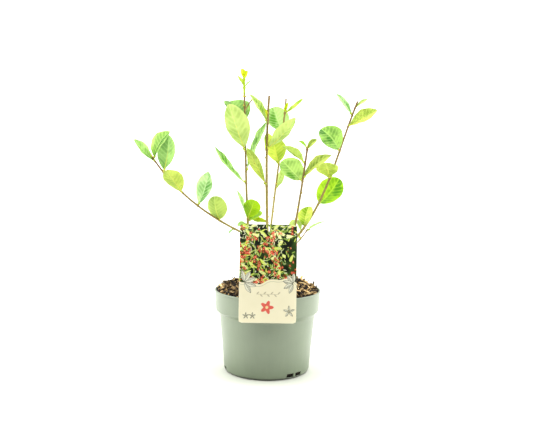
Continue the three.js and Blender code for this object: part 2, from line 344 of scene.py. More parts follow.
def rough(x, y, seed, waves):
    """Uneven relief: sums of sine waves in seeded directions, each of five octaves finer and
    lower than the last."""
    rng = np.random.default_rng(seed)
    total = np.zeros(np.broadcast(x, y).shape)
    for octave in range(5):
        for angle, phase in rng.uniform(0, 2 * np.pi, (4, 2)):
            reach = waves * 1.9 ** octave
            total += np.sin((x * np.cos(angle) + y * np.sin(angle)) * reach + phase) * 0.55 ** octave
    return total / 4


def bark_scrap(place, size, turn, rng, sides=6):
    """A flat splinter: rings of an uneven outline that pinch at both ends, then turned."""
    share = np.array([-0.5, -0.46, 0, 0.46, 0.5])[:, None]
    pinch = np.array([0, 0.6, 1, 0.55, 0])[:, None]
    angle = full_turn(sides) + 0.5
    uneven = rng.uniform(0.7, 1.2, (5, sides))
    x = share * size[0] * rng.uniform(0.88, 1, (1, sides))
    y = np.cos(angle) * pinch * uneven * size[1] / 2
    z = np.sin(angle) * pinch * uneven * size[2] / 2 + size[2] * 0.5 * rng.uniform(-1, 1) * share ** 2
    return points_of(x, y, z) @ turn.T + place


def turn_of(heading, tilt, roll):
    """The rotation by roll about X, then tilt about Y, then heading about Z."""
    (ch, sh), (ct, st), (cr, sr) = [(np.cos(a), np.sin(a)) for a in (heading, tilt, roll)]
    about_z = np.array([[ch, -sh, 0], [sh, ch, 0], [0, 0, 1]])
    about_y = np.array([[ct, 0, st], [0, 1, 0], [-st, 0, ct]])
    return about_z @ about_y @ np.array([[1, 0, 0], [0, cr, -sr], [0, sr, cr]])


def inside_pot(points):
    """The points with those that would pass the pot's wall moved in to it."""
    out = np.hypot(points[..., 0], points[..., 1])
    points[..., :2] *= np.where(out > compost_edge, compost_edge / np.maximum(out, 1), 1)[..., None]
    return points


def bark_finish(name, dark, light):
    """Fibrous bark between two colours, in streaks and patches, quite without gloss."""
    material, place, join = finish(name, {"Specular IOR Level": 0.2})
    patch = place.noise(170, 3, 0.6)
    fibre = place.noise(1500, 3, 0.7)
    join(Base_Color=(patch * 0.6 + fibre * 0.4).blend(0.36, 0.66).mix(dark, light),
         Roughness=fibre * 0.2 + 0.75,
         Normal=(patch * 0.5 + fibre * 0.5).bump(0.0006, 0.8))
    return material


peat = bark_finish("peat_fines", paint(10, 8, 6), paint(44, 34, 24))
scrap_finishes = [
    bark_finish("bark_black", paint(12, 10, 8), paint(50, 40, 30)),
    bark_finish("bark_brown", paint(48, 37, 23), paint(128, 104, 68)),
    bark_finish("bark_grey_brown", paint(92, 75, 46), paint(198, 168, 118)),
    bark_finish("bark_fresh_tan", paint(196, 156, 98), paint(250, 224, 168)),
]

share = np.linspace(0, 1, 110)[1:]
angle = full_turn(compost_columns)
x = share[:, None] * compost_edge * np.cos(angle)
y = share[:, None] * compost_edge * np.sin(angle)
surface = points_of(x, y, ground(x, y) + rough(x, y, 3, 0.35) * 1.3 - 0.6)
middle = np.broadcast_to([0, 0, ground(0, 0) - 0.6], (1, compost_columns, 3))
side = np.array([(radius - 0.5, height) for radius, height in inner_wall[::-1]] + [(64.2, 3), (0, 3)])
side = turned(side, compost_columns)
build_piece("compost_body", [shell(np.concatenate([middle, surface, side]))], [peat],
            "compost", 60)


def anywhere(low, high):
    """A random place on the compost, even over its area between two shares of it, and how far
    out it is."""
    out = compost_edge * np.sqrt(rng.uniform(low, high))
    heading = rng.uniform(0, 2 * np.pi)
    return out * np.cos(heading), out * np.sin(heading), out


rng = np.random.default_rng(11)
scraps = []
for i in range(scrap_count):
    x, y, out = anywhere(0.004, 0.93)
    large = rng.uniform() ** 2.2
    size = np.array([5 + 13 * large, 2 + 4.4 * large * rng.uniform(0.5, 1), 1 + 1.8 * large])
    steep = 0.3 + 0.9 * (rng.uniform() < 0.25)
    turn = turn_of(rng.uniform(0, 2 * np.pi), rng.normal() * 0.6 * steep, rng.normal() * 0.7)
    place = np.array([x, y, ground(x, y) + rng.uniform(-0.4, 2.6)])
    number = rng.choice(4, p=[0.33, 0.24, 0.23, 0.2])
    if heap_inner < out < heap_outer and rng.uniform() < large_share:
        size = np.array([rng.uniform(8, 17), rng.uniform(3, 6.4), rng.uniform(1.4, 2.8)])
        turn = turn_of(rng.uniform(0, 2 * np.pi), rng.uniform(-1.1, 1.1), rng.normal() * 0.6)
        place[2] += 1.6 + 1.6 * (y > 0)
    scraps.append(shell(inside_pot(bark_scrap(place, size, turn, rng)), material=number))
for x, y, long, wide, tilt, heading, number in tall_scraps:
    turn = turn_of(np.radians(heading), np.radians(-tilt), 0.5)
    place = np.array([x, y, ground(x, y) + long * np.sin(np.radians(tilt)) * 0.32])
    scraps.append(shell(bark_scrap(place, (long, wide, tall_thick), turn, rng), material=number))
build_piece("bark_scraps", scraps, scrap_finishes, "compost", 25)

crumbs = []
for i in range(crumb_count):
    x, y, _ = anywhere(0, 0.97)
    size = rng.uniform(0.7, 2.6) * rng.uniform(0.5, 1, 3)
    turn = turn_of(*rng.uniform(0, 2 * np.pi, 3))
    place = np.array([x, y, ground(x, y) + rng.uniform(-0.3, 1.3)])
    number = rng.choice(4, p=[0.45, 0.33, 0.16, 0.06])
    crumbs.append(shell(inside_pot(bark_scrap(place, size, turn, rng, 4)), material=number))
build_piece("compost_crumbs", crumbs, scrap_finishes, "compost", 25)

# The plant label is a printed plastic card with round corners and an oval hole to hang it by. It
# leans on the front of the lip and a tongue behind it goes over the lip and down into the pot.

card_wide, card_tall, card_thick, card_corner = 88, 151, 0.9, 3.5
card_lean, card_low, card_touch = np.radians(6.8), 98.5, 133.1
hole_wide, hole_tall, hole_drop = 4.6, 8.6, 7
tongue_wide, tongue_thick, tongue_tuck = 26, 0.9, 20.45
tongue_root, tongue_top, tongue_inside = 87.3, 134.75, 81


def round_card(count=96):
    """Points round a rectangle with round corners, at even steps of its edge, from the right side's
    middle on, anticlockwise: straight sides between quarter circles."""
    half_wide, half_tall, r = card_wide / 2, card_tall / 2, card_corner
    corners = [(half_wide - r, half_tall - r), (r - half_wide, half_tall - r),
               (r - half_wide, r - half_tall), (half_wide - r, r - half_tall)]
    turn = np.radians(np.linspace([0, 90, 180, 270], [90, 180, 270, 360], 9, axis=1))[..., None]
    arcs = np.array(corners)[:, None] + r * np.concatenate([np.cos(turn), np.sin(turn)], -1)
    edge = np.array([(half_wide, 0), *arcs.reshape(-1, 2), (half_wide, 0)])
    reached = distances(edge)
    return read_off(np.linspace(0, reached[-1], count, endpoint=False), reached, edge)


def leaned(across, up, deep):
    """A point of the card, by its place across and up its face and its depth, as it leans."""
    foot = -(rim_radius + 0.3) - (card_touch - card_low) * np.tan(card_lean)
    y = foot + up * np.sin(card_lean) - deep * np.cos(card_lean)
    return points_of(across, y, card_low + up * np.cos(card_lean) + deep * np.sin(card_lean))


# The card's face is a grid between the hole's edge and the outer edge, and so is its back. Both
# are set back a little at their edges, which rounds them.
outer = round_card() + np.array([0, card_tall / 2])
from_hole = outer - np.array([0, card_tall - hole_drop])
angle = np.arctan2(from_hole[:, 1] * hole_wide, from_hole[:, 0] * hole_tall)
hole_up = card_tall - hole_drop + hole_tall / 2 * np.sin(angle)
inner = np.stack([hole_wide / 2 * np.cos(angle), hole_up], -1)
share = np.concatenate([[0, 0.004], np.linspace(0.02, 0.98, 24), [0.996, 1]])[:, None]
flat = inner[None] * (1 - share[..., None]) + outer[None] * share[..., None]
set_back = 0.18 * ((share == 0) | (share == 1))
front = leaned(flat[..., 0], flat[..., 1], (1 - set_back) * card_thick)
rear = leaned(flat[..., 0], flat[..., 1], set_back * card_thick)
loop = np.concatenate([front, rear[::-1], front[:1]])
printed = np.concatenate([np.ones(len(front)), np.zeros(len(rear)), [1]])[:, None]
marks = np.concatenate([flat, flat[::-1], flat[:1]])
card_shell = shell(loop, across=marks[..., 0], up=marks[..., 1], face=printed)

# The tongue's bent path: out of the card's back, over the lip, and down inside
path = rounded([(-tongue_root, tongue_top, 0), (-tongue_inside, tongue_top, 2.5),
                (-tongue_inside, tongue_top - tongue_tuck, 0)], 9)
step = np.gradient(path, axis=0)
normal = np.stack([-step[:, 1], step[:, 0]], -1) / np.linalg.norm(step, axis=1)[:, None]
corner_across = np.array([-1, 1, 1, -1]) * tongue_wide / 2
corner_side = np.array([1, 1, -1, -1]) * tongue_thick / 2
narrow = np.ones(len(path))
narrow[-3:] = [0.96, 0.86, 0.7]
tongue = points_of(corner_across * narrow[:, None],
                   path[:, :1] + normal[:, :1] * corner_side,
                   path[:, 1:] + normal[:, 1:] * corner_side)
root, tip = [np.broadcast_to(end.mean(axis=0), (1, 4, 3)) for end in (tongue[0], tongue[-1])]
tongue = np.concatenate([root, tongue, tip])
tongue_shell = shell(tongue, across=0.0, up=0.0, face=0.0)

# The print is a bed of leaves and small red blossoms over a cream foot with a few line drawings.
# Each cell of a scattered pattern holds one leaf or blossom, turned by the cell's random colour.
card_print, place, join = finish("card_print", {"Roughness": 0.32, "Specular IOR Level": 0.4})
across, up, face = place.mark("across"), place.mark("up"), place.mark("face")
spot = place.add("CombineXYZ", {}, {"X": across, "Y": up})


def scattered(spot, size, seed):
    """A scatter of cells of about size. Gives the place in a cell along and across a random
    direction, and the cell's two random numbers."""
    moved = spot.vector("ADD", (seed * 31.7, seed * 17.3, 0))
    values = {"Vector": moved, "Scale": 1 / size}
    centre = moved.add("TexVoronoi", {"voronoi_dimensions": "2D"}, values, "Position")
    apart = moved.vector("SUBTRACT", centre)
    red = centre.add("SeparateColor", {}, {0: centre.beside("Color")}, "Red")
    values = {"Vector": apart, "Angle": red * 6.283}
    spun = apart.add("VectorRotate", {"rotation_type": "Z_AXIS"}, values)
    along = spun.add("SeparateXYZ", {}, {0: spun}, "X")
    return along, along.beside("Y"), red.beside("Green"), red.beside("Blue")


def ink(red, green, blue):
    """A printed colour, which sends back 0.78 of the light that the same paint would."""
    return (*(0.78 * c for c in paint(red, green, blue)[:3]), 1)


def leaf_mask(x, y, length, width):
    """1 inside a pointed leaf: its width falls off with the square of the place along it."""
    return abs(y) < width * (1 - (x / length) ** 2)


def blossom_mask(x, y, radius):
    """1 inside a flower of five petals: the edge's radius is a wave with five crests."""
    reach = (x * x + y * y) ** 0.5
    wave = x.math("COSINE", x.math("ARCTAN2", y, x) * 5.0)
    return reach < radius * (0.76 + wave * 0.24)


def leaning(x, y, heading):
    """The places along and across a line through x, y at that heading in radians."""
    cosine, sine = float(np.cos(heading)), float(np.sin(heading))
    run, rise = across - x, up - y
    return run * cosine + rise * sine, rise * cosine - run * sine


# Layers of leaves: cell size, seed, half length and half width, share of cells filled, two colours
leaf_layers = [
    (9.0, 1, 7.4, 1.9, 0.75, (34, 64, 16), (120, 160, 40)),
    (6.2, 2, 4.8, 1.0, 0.7, (104, 150, 36), (224, 236, 84)),
    (11.5, 3, 8.4, 2.3, 0.58, (206, 226, 64), (255, 255, 184)),
    (4.4, 6, 3.6, 0.6, 0.5, (160, 186, 64), (255, 255, 214)),
]
blossom_layers = [(5.4, 4, 2.3), (7.4, 5, 2.9)]
blossom_red, blossom_pink, blossom_eye = ink(168, 22, 28), ink(248, 92, 76), ink(248, 216, 150)
foot_high, badge_across, badge_up, sprig_up = 64.0, -1.0, 24.0, 44.0

shade = across.blend(14.0, 40.0) * (1 - up.blend(118.0, 150.0))
thick = spot.noise(0.06)
picture = thick.blend(0.4, 0.62).mix(ink(10, 18, 10), ink(50, 76, 28))
for size, seed, length, width, kept, dark, light in leaf_layers:
    x, y, first, second = scattered(spot, size, seed)
    rib = abs(y) < 0.16
    leaf_colour = (rib * 0.5).mix(second.mix(ink(*dark), ink(*light)), ink(246, 244, 204))
    shown = leaf_mask(x, y, length, width) * (first < kept * (1 - shade * 0.85))
    picture = shown.mix(picture, leaf_colour)
for size, seed, radius in blossom_layers:
    x, y, first, second = scattered(spot, size, seed)
    eye = (x * x + y * y) < 0.34
    kept = thick.blend(0.42, 0.6) * (1 - shade * 0.8) * (1 - up.blend(122.0, 148.0) * 0.75)
    shown = blossom_mask(x, y, radius) * (first < kept * 0.92)
    picture = shown.mix(picture, eye.mix(second.mix(blossom_red, blossom_pink), blossom_eye))
slow, quick = across * 0.075, across * 0.21 + 1.0
edge = up - (slow.math("SINE", slow) * 4.0 + quick.math("SINE", quick) * 1.6 + foot_high)
cream = spot.noise(0.05).mix(ink(243, 235, 199), ink(250, 243, 211))
cream = ((abs(edge + 3.4) < 0.35) * 0.55).mix(cream, ink(126, 138, 104))
badge_x, badge_y = across - badge_across, up - badge_up
cream = blossom_mask(badge_x, badge_y, 10.5).mix(cream, ink(228, 104, 90))
cream = ((badge_x * badge_x + badge_y * badge_y) < 5.0).mix(cream, ink(248, 228, 164))
print_colour = (edge > 0).mix(cream, picture)

# Fans of line-drawn leaves, each a leaf in ink with a slightly smaller pale one in it, hatched on
# one half: place across and up, reach, the first leaf's heading and the step to the next
for fan_x, fan_up, reach, start, step in ((-36, 62, 10, -58, 40), (39, 61, 8.5, 88, 40),
                                          (33, 18, 4.8, 20, 72), (-33, 11, 2.8, 18, 72),
                                          (-23, 11, 2.8, 18, 72)):
    for heading in np.radians(start + step * np.arange(5)):
        middle = fan_x + reach * float(np.cos(heading)), fan_up + reach * float(np.sin(heading))
        run, rise = leaning(*middle, heading)
        half_length, half_width = reach * 0.95, reach * 0.36
        outline = leaf_mask(run, rise, half_length, half_width)
        print_colour = outline.mix(print_colour, ink(74, 78, 60))
        stroke = run * 0.9 - abs(rise) * 0.8
        hatch = 1 - (stroke.math("FRACT", stroke) < 0.34) * (rise > 0)
        pale = leaf_mask(run, rise, half_length - 0.8, half_width - 0.4) * (abs(rise) > 0.16)
        print_colour = (pale * hatch).mix(print_colour, ink(234, 232, 208))

# A pale sprig: small leaves in turn above and below a thin line
sprig = (abs(up - sprig_up) < 0.3) * (abs(across) < 17.0)
for i in range(7):
    above = (-1) ** i
    run, rise = leaning(5.4 * i - 15.0, sprig_up + 2.0 * above, 0.75 * above)
    sprig = sprig.math("MAXIMUM", sprig, leaf_mask(run, rise, 2.9, 1.0))
print_colour = (sprig * 0.6).mix(print_colour, ink(150, 140, 112))
join(Base_Color=face.mix(ink(238, 236, 226), print_colour),
     Normal=place.noise(900).bump(0.00003, 0.3))
build_piece("label_card", [card_shell, tongue_shell], [card_print], "plant_label", 50)

# The wood: four stems from the compost and two boughs from the main stem, each a thin brown rod
# that tapers and swells a little at each leaf, with pale young bark low down and browner bark
# above. The leafy parts carry each of them on to its tip, and a low twig leaves the back stem.

flare_length = 7
swell_high, swell_half, scar_deep, scar_half, scar_past = 0.45, 1.6, 0.16, 0.5, 3
shoot_thicker, shoot_blend = 0.28, 0.02
rod_sides = 18

# Each stem has a curve of four handles, the radius at its foot and tip, and the share of its length
# where its leafy part begins. Paler shifts the bark's colours, fresh is the share past which the
# shoot is green and thicker, and stub is a bare twig: share, heading, rise, length. A leaf's row is
# its share, heading, rise, length, width, roll and tint, and where they differ its bow and fold.
stems = {
    "main_stem": {
        "curve": [(0, 0, 132), (0, 2, 234), (-9, 9, 341), (-2, 14, 447.5)],
        "radius": (2.6, 1.8), "flare": 2.6, "leafy": 0.335, "bare_tip": True, "paler": 0.2,
        "leaves": [
            (0.352, 170, 7, 24, 14, -27, "bud", 0.04, 14),
            (0.54, 219, 56, 74, 17, 57, "spotted", 0.1, 14),
            (0.722, 82, 64, 30, 18, 36, "lime", 0.07, 22), (0.728, 338, 46, 70, 27, -34, "pale", -0.05),
            (0.862, 170, 56, 55, 21, -22, "pale", 0.02, 23), (0.875, 199, 73, 20, 7, -62, "bud"),
        ],
    },
    "left_stem": {
        "curve": [(-24, -10, 132), (-37, 3, 242), (-39, 11, 358), (-43, 11, 477)],
        "radius": (2.2, 1.3), "flare": 1.4, "leafy": 0.2, "bare_tip": False, "fresh": 0.907,
        "stub": (0.845, 15, 56, 20),
        "leaves": [
            (0.23, 104, 4, 36, 24, 0, "green"), (0.309, 197, -1, 18, 15, -28, "green"),
            (0.327, 34, 28, 31, 17, 30, "bright", 0.06, 19),
            (0.339, 299, 54, 40, 27, -34, "bright", -0.02, 22),
            (0.359, 177, 66, 43, 23, -5, "green", -0.04), (0.506, 172, 48, 80, 22, -17, "green", -0.07),
            (0.56, 0, 68, 88, 26, 26, "green", 0.02, 14),
            (0.655, 208, 68, 81, 41, 42, "pale", -0.02, 20),
            (0.787, 122, 35, 62, 42, -8, "deep", 0.05, 26), (0.948, 333, 42, 18, 4, 57, "green", 0.07),
            (0.951, 153, 55, 24, 7, -16, "lime"), (0.987, 142, 74, 18, 11, -14, "bud"),
            (0.986, 340, 68, 15, 11, -22, "bud"),
        ],
    },
    "back_stem": {
        "curve": [(-2, 18, 132), (0, 27, 238), (19, 69, 339), (27, 95, 446.5)],
        "radius": (1.9, 1.4), "flare": 1.4, "leafy": 0.2, "bare_tip": True, "paler": 0.3,
        "leaves": [
            (0.219, 110, 20, 46, 29, 10, "green"), (0.279, 50, 5, 42, 27, -12, "blue"),
            (0.259, 170, -5, 36, 23, 14, "pale"), (0.512, 29, 68, 38, 20, 6, "pale", -0.13),
            (0.643, 241, 60, 51, 36, 18, "lime", 0.04, 16),
            (0.816, 133, 61, 49, 40, -30, "green", -0.04, 11),
            (0.922, 9, 38, 40, 18, 14, "lime", -0.08, 21), (0.92, 330, 72, 19, 7, -25, "bud", 0.04, 16),
        ],
    },
    "right_stem": {
        "curve": [(24, -8, 132), (39, -2, 210), (50, -31, 287), (58, -50, 365)],
        "radius": (2.1, 1.5), "flare": 1.4, "leafy": 0.25, "bare_tip": False,
        "leaves": [
            (0.28, 108, 50, 32, 23, 8, "green"), (0.505, 138, -52, 25, 18, -58, "mellow", 0.04, 9),
            (0.774, 160, 43, 47, 37, -47, "veined", -0.01, 22),
            (0.794, 352, 40, 58, 27, 34, "freckled", 0.08), (0.896, 190, 36, 45, 23, 24, "mellow"),
            (0.992, 198, 40, 20, 9, -38, "bright", 0.1, 24),
            (0.994, 338, 43, 22, 12, 56, "freckled", 0.09, 21),
        ],
    },
    "left_bough": {
        "curve": [(0, 2, 209), (-74, -15, 236), (-141, -25, 281), (-183, -38, 347)],
        "radius": (1.9, 1.3), "flare": 0.5, "leafy": 0.22, "bare_tip": False,
        "leaves": [
            (0.26, 215, -37, 13, 7, -1, "blue"), (0.37, 216, 74, 42, 36, 26, "mellow", -0.1),
            (0.556, 24, 72, 57, 28, 39, "blue", -0.08, 16),
            (0.692, 235, 44, 53, 30, 28, "spotted", 0), (0.881, 334, 80, 59, 31, -29, "sea", -0.08),
            (0.966, 207, 44, 49, 25, -43, "green", -0.04, 19),
            (0.99, 6, 59, 50, 31, 36, "veined", 0.11, 20),
        ],
    },
    "right_bough": {
        "curve": [(0, 1, 178), (89, 11, 234), (105, 23, 345), (143, 34, 441)],
        "radius": (2.1, 1.5), "flare": 0.5, "leafy": 0.2, "bare_tip": True,
        "leaves": [
            (0.24, 138, 54, 22, 15, 64, "pale"), (0.267, 62, 62, 38, 29, -13, "lime", 0.05, 16),
            (0.41, 27, 47, 58, 43, 38, "bright", -0.12, 16),
            (0.566, 257, 28, 57, 35, 8, "spotted", 0.03, 0), (0.717, 171, 49, 48, 39, -61, "dark", 0.2),
            (0.858, 344, 30, 54, 27, -41, "spotted", 0, 21),
            (0.921, 194, 50, 44, 15, -54, "blue", 0.04, 14), (0.961, 7, 36, 27, 8, 36, "pale"),
        ],
    },
    "low_twig": {
        "curve": [(-1, 21, 172), (34, 27, 192), (55, 40, 208), (66, 52, 227)],
        "radius": (1.4, 1), "flare": 0.4, "leafy": 0, "bare_tip": True,
        "leaves": [
            (0.76, 211, 47, 13, 8, -60, "lime"), (0.96, 29, 22, 39, 13, -6, "green", 0.04),
        ],
    },
}


def unit(vectors):
    """The vectors at length 1."""
    return vectors / np.linalg.norm(vectors, axis=-1, keepdims=True)


def along_curve(stem, shares):
    """Points and directions at shares of the length of a cubic curve with four handles, and that
    length. Each handle counts by its binomial weight."""
    handles = np.array(stem["curve"], float)
    t = np.linspace(0, 1, 2001)[:, None]
    weights = np.hstack([(1 - t) ** 3, 3 * t * (1 - t) ** 2, 3 * t ** 2 * (1 - t), t ** 3])
    line = weights @ handles
    reached = distances(line)
    places = np.asarray(shares) * reached[-1]
    ahead = read_off(places, reached, np.gradient(line, axis=0))
    return read_off(places, reached, line), unit(ahead), reached[-1]


def rings_round(centres, radius, first, second, sides):
    """Rings of points: from each centre, the radius times an angle's cosine along the first
    direction and times its sine along the second."""
    angle = full_turn(sides)
    circle = np.cos(angle)[:, None] * first + np.sin(angle)[:, None] * second
    return centres[:, None] + radius[..., None] * circle


def upward(heading, rise):
    """The unit direction at a heading round z and a rise above level, in degrees."""
    heading, rise = np.radians([heading, rise])
    return np.array([np.cos(rise) * np.cos(heading), np.cos(rise) * np.sin(heading), np.sin(rise)])


def rod(stem, start, end, bare_tip, seed):
    """The stretch of a stem between two shares of its length. Its radius tapers evenly, flares at
    the foot by a falling exponential, swells in a bell shape at each leaf and dips past it, and is
    thicker in the green shoot. Fine waves round it and along it are the bark's wrinkles. A bare tip
    is cut flat and any other is rounded."""
    length = along_curve(stem, [0])[2]
    count = max(8, int((end - start) * length / 0.9))
    shares = np.linspace(start, end, count)
    if end == 1:
        tail = [1, 1] if bare_tip else [1, 1, 1]
        shares = np.concatenate([shares, tail])
    centres, ahead, _ = along_curve(stem, shares)
    if not bare_tip and end == 1:
        centres[-3:] += ahead[-3:] * np.array([[0.4], [0.7], [0.8]]) * stem["radius"][1]
    thick, thin = stem["radius"]
    radius = thick + (thin - thick) * shares + stem["flare"] * np.exp(-shares * length / flare_length)
    for row in stem["leaves"]:
        past = (shares - row[0]) * length
        radius = radius + swell_high * np.exp(-(past / swell_half) ** 2)
        radius = radius - scar_deep * np.exp(-(past / scar_half - scar_past) ** 2)
    if end == 1:
        radius[-len(tail):] *= [0.93, 0] if bare_tip else [0.8, 0.4, 0]
    fresh = np.clip((shares - stem.get("fresh", 2)) / shoot_blend, 0, 1)
    radius = radius * (1 + shoot_thicker * fresh)
    first = unit(np.cross([0, 1, 0], ahead))
    second = np.cross(ahead, first)
    angle = full_turn(rod_sides)
    run = (shares * length)[:, None]
    wrinkle = (0.035 * np.sin(5 * angle + 0.21 * run + seed) + 0.03 * np.sin(9 * angle - 0.5 * run)
               + 0.03 * np.sin(2 * angle + 1.3 * run) * np.sin(0.37 * run + seed))
    radius = radius[:, None] * (1 + wrinkle)
    rings = rings_round(centres, radius, first[:, None], second[:, None], rod_sides)
    cut = np.zeros(len(shares))
    if end == 1 and bare_tip:
        cut[-2:] = 1
    if start == 0:
        rings = np.concatenate([centres[:1, None] + np.zeros((1, rod_sides, 3)), rings])
        shares, cut, fresh = [np.concatenate([mark[:1], mark]) for mark in (shares, cut, fresh)]
    age = shares - stem.get("paler", 0)
    return shell(rings, age=age[:, None], fresh=fresh[:, None], cut=cut[:, None])


bark, place, join = finish("young_bark", {"Specular IOR Level": 0.3})
age, fresh, cut = place.mark("age"), place.mark("fresh"), place.mark("cut")
stretched = place.vector("MULTIPLY", (1, 1, 0.22))
fibre = stretched.noise(1900, 3, 0.6)
patch = place.noise(140)
spots = place.add("TexVoronoi", {}, {"Vector": place, "Scale": 260.0}, "Distance")
lenticel = 1 - spots.blend(0.16, 0.26)
stops = [(0.0, paint(162, 150, 84)), (1.0, paint(116, 88, 50)), (0.3, paint(136, 122, 61)),
         (0.65, paint(121, 104, 52))]
crack_brown, lenticel_tan = paint(58, 40, 24), paint(176, 152, 96)
shoot_green, cut_wood = paint(140, 166, 10), paint(226, 212, 166)
tone = age.add("ValToRGB", {"stops": stops}, {"Fac": age + (patch - 0.5) * 0.5})
tone = (fibre.blend(0.35, 0.7) * 0.3).mix(tone, crack_brown)
tone = (lenticel * 0.6).mix(tone, lenticel_tan)
join(Base_Color=cut.mix(fresh.mix(tone, shoot_green), cut_wood),
     Roughness=fibre * 0.25 + 0.5,
     Normal=(fibre * 0.6 + lenticel * 0.4).bump(0.00025, 0.6))

for number, (name, stem) in enumerate(stems.items()):
    if stem["leafy"] > 0:
        wood = rod(stem, 0, stem["leafy"], True, number)
        build_piece(name + "_bark", [wood], [bark], name, 50)

# The leaves are thin ovals on short stalks, toothed at the edge, folded a little along a midrib
# and puffed between their side veins. Fresh ones are lime, older ones a bluer green, and a few
# have brown specks. Small bracts and buds sit where they leave the wood.

leaf_stalk, leaf_stalk_radius = 0.08, 0.8
leaf_bow, leaf_fold, vein_pairs, vein_lean = 0.06, 18, 8, 0.22
tooth_count, tooth_deep, blade_thick = 34, 0.045, 0.16
# As shares of a leaf's length: the midrib's groove, the puff between the side veins, the sway of
# the two sides, the ripple of the edge, and what the middle is thicker by
groove_deep, puff_deep, sway_deep, ripple_deep, rib_thick = 0.008, 0.0045, 0.012, 0.007, 0.003
large_grid, small_grid, bract_grid, stalk_sides = (84, 12), (40, 7), (14, 3), 10
speck_brown = paint(132, 84, 40)
# Each tint's deep and pale colour, and how strongly its brown specks show
tints = {
    "lime": ((136, 172, 4), (216, 226, 108), 0),
    "pale": ((136, 172, 46), (206, 220, 142), 0),
    "mellow": ((108, 148, 22), (194, 212, 116), 0),
    "green": ((92, 152, 28), (196, 222, 148), 0),
    "bright": ((94, 158, 0), (188, 220, 44), 0),
    "blue": ((100, 158, 68), (202, 228, 170), 0),
    "sea": ((78, 142, 44), (182, 214, 136), 0),
    "dark": ((66, 130, 14), (176, 210, 110), 0),
    "deep": ((46, 108, 6), (150, 190, 88), 0),
    "veined": ((90, 152, 30), (196, 222, 130), 0.3),
    "spotted": ((130, 164, 26), (206, 218, 116), 1),
    "freckled": ((110, 142, 18), (194, 206, 104), 1),
    "bud": ((124, 172, 0), (220, 222, 14), 0),
    "stalk": ((168, 180, 30), (222, 214, 92), 0),
}


def leaf_finish(name, deep, pale, specks, gloss):
    """One face of a leaf: deep green in soft clouds and pale at the rim, with painted light and shade:
    one half of the blade is painted lighter, as if lit, and the other darker, as if shaded, and
    painted shade lies in the valleys beside the side veins. The midrib and side veins are read from
    the places along and across the blade, and some leaves have brown specks. Half of the light goes
    through it."""
    material, place, join = finish(name, {"Specular IOR Level": gloss})
    along, side, half = place.mark("along"), place.mark("across"), place.mark("half")
    across = abs(side)
    phase = (along - across ** 1.2 * vein_lean) * float(vein_pairs)
    from_vein = abs(phase.math("FRACT", phase) - 0.5)
    side_vein = (1 - from_vein.blend(0.03, 0.14)) * (1 - across.blend(0.75, 1.0))
    midrib = 1 - across.blend(0.03, 0.09)
    ribs = midrib.math("MAXIMUM", midrib, side_vein * 0.5)
    cloud = place.noise(62)
    mesh = place.noise(1300)
    # Painted shade in the valleys beside the side veins, where the puffed blade dips
    vein_valley_shade = from_vein.blend(0.12, 0.4) * (1 - across.blend(0.6, 1.0))
    light = cloud.blend(0.4, 0.6) * 0.5 + across.blend(0.45, 1.0) * 0.3
    # Painted light and shade: one half of the blade lighter, as if lit, the other darker, as if shaded
    light = light + (side * half).blend(-0.2, 0.2) * 0.45
    tone = (light + mesh * 0.16 - vein_valley_shade * 0.16).mix(deep, pale)
    tone = (ribs * 0.8).mix(tone, tuple(min(1.0, 1.06 * c + 0.02) for c in pale))
    if specks > 0:
        spot = place.add("TexVoronoi", {}, {"Vector": place, "Scale": 270.0}, "Distance")
        fleck = (1 - spot.blend(0.14, 0.32)) * place.noise(70).blend(0.46, 0.6)
        tone = (fleck * 0.62 * specks).mix(tone, speck_brown)
    join(Base_Color=tone, Roughness=cloud * 0.12 + 0.42,
         Normal=(mesh * 0.5 + 0.5 * ribs).bump(0.00016, 0.5))
    tree = material.node_tree
    shader = Wire(tree, tree.nodes["Principled BSDF"].outputs[0])
    through = tone.add("BsdfTranslucent", {}, {"Color": tone})
    mixed = shader.add("MixShader", {}, {0: 0.5, 1: shader, 2: through})
    tree.links.new(mixed.socket, tree.nodes["Material Output"].inputs["Surface"])
    return material


leaf_finishes = {}
for name, (deep, pale, specks) in tints.items():
    deep, pale = paint(*deep), paint(*pale)
    between = tuple(0.6 * d + 0.4 * p for d, p in zip(deep, pale))
    leaf_finishes[name] = (leaf_finish("leaf_" + name, deep, pale, specks, 0.4),
                           leaf_finish("leaf_" + name + "_below", between, pale, specks, 0.2))


def leaf_directions(row):
    """A leaf's own directions: ahead along its spine, up out of its face, and to its side. Up is
    the steepest way from ahead, turned round ahead by the roll."""
    ahead = upward(row[1], row[2])
    level = unit(np.array([0, 0, 1]) - ahead[2] * ahead)
    roll = np.radians(row[5])
    up = level * np.cos(roll) + np.cross(ahead, level) * np.sin(roll)
    return ahead, up, np.cross(up, ahead)


def bow_and_fold(row):
    """A leaf's bow and fold, or what most leaves have where its row doesn't give them."""
    return [*row[7:], *(leaf_bow, leaf_fold)[len(row) - 7:]]


